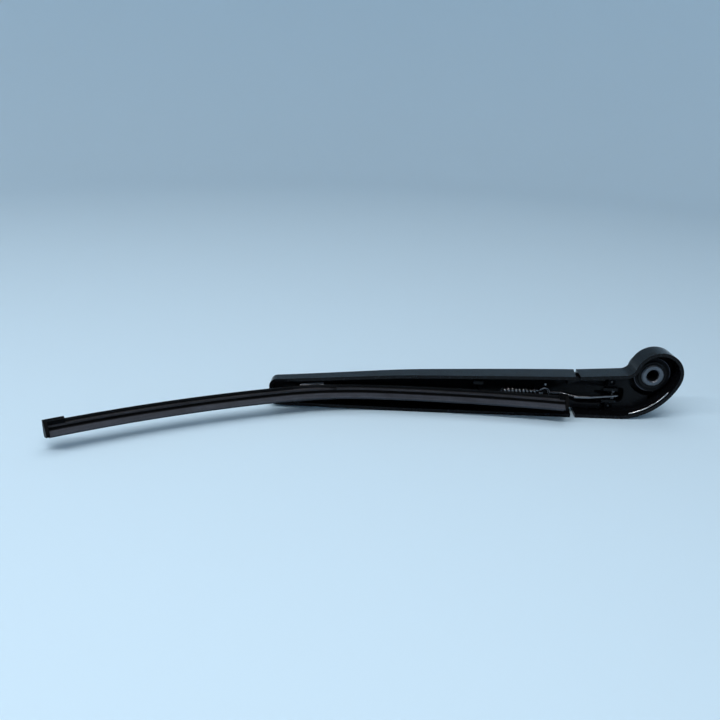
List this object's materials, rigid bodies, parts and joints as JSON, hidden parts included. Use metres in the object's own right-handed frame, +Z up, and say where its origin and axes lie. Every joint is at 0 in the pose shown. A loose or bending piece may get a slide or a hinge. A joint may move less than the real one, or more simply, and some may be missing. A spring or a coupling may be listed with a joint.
{
  "type": "rear wiper arm with blade",
  "caption": "Rear wiper arm: hollow mounting head with a flip nut cover, hinged channel arm with spring and hook, and a pivoting bowed flat blade.",
  "frame": {"origin": "centre of the spindle bore at the glass-side end of its wall", "axes": "-Y along the bore towards the glass, -X along the arm towards its tip, +Z up as parked on an upright rear window"},
  "size_m": [0.4177, 0.1044, 0.0506],
  "materials": {
    "head_black": "gloss moulded black",
    "arm_black": "gloss moulded black",
    "cover_black": "satin moulded black",
    "insert_metal": "die cast, bare",
    "pin_steel": "ground steel",
    "hook_steel": "black coated bent rod",
    "spring_steel": "black coated wire",
    "clip_black": "moulded black",
    "rail_steel": "spring strip",
    "cover_strip": "extruded black",
    "wiping_rubber": "graphite grey rubber",
    "cap_black": "moulded black"
  },
  "bodies": {
    "head": {"mounting_head": "head_black", "spindle_insert": "insert_metal", "hinge_pin_upper": "pin_steel", "hinge_pin_lower": "pin_steel", "hook_pin": "pin_steel"},
    "lid": {"nut_cover": "cover_black"},
    "arm": {"arm_channel": "arm_black", "spring_pin": "pin_steel", "blade_adapter": "clip_black"},
    "spring_link": {"tension_hook": "hook_steel", "tension_spring": "spring_steel"},
    "blade": {"blade_bracket": "clip_black", "blade_pivot_pin": "pin_steel", "flexor_upper": "rail_steel", "flexor_lower": "rail_steel", "spoiler_outer": "cover_strip", "spoiler_inner": "cover_strip", "wiper_rubber": "wiping_rubber", "end_cap_outer": "cap_black", "end_cap_inner": "cap_black"}
  },
  "joints": [
    {"name": "arm_fold", "type": "hinge", "parent": "head", "child": "arm", "pos_m": [-0.033, 0.007, -0.0164], "axis": [0, 0, -1], "range_deg": [0, 40], "stiffness_Nm_per_rad": 0.5, "springref_deg": -40.11},
    {"name": "link_swing", "type": "hinge", "parent": "arm", "child": "spring_link", "pos_m": [-0.1215, 0.0012, -0.0164], "axis": [0, 0, 1], "range_deg": [0, 3.7]},
    {"name": "blade_pivot", "type": "hinge", "parent": "arm", "child": "blade", "pos_m": [-0.237, -0.0033, -0.0196], "axis": [0, 0, -1], "range_deg": [0, 10]},
    {"name": "lid_flip", "type": "hinge", "parent": "head", "child": "lid", "pos_m": [-0.017, 0.0132, -0.0065], "axis": [0, 0, 1], "range_deg": [0, 100]}
  ],
  "couplings": [
    {"joint": "link_swing", "follows": "arm_fold", "ratio": 0.08913}
  ]
}
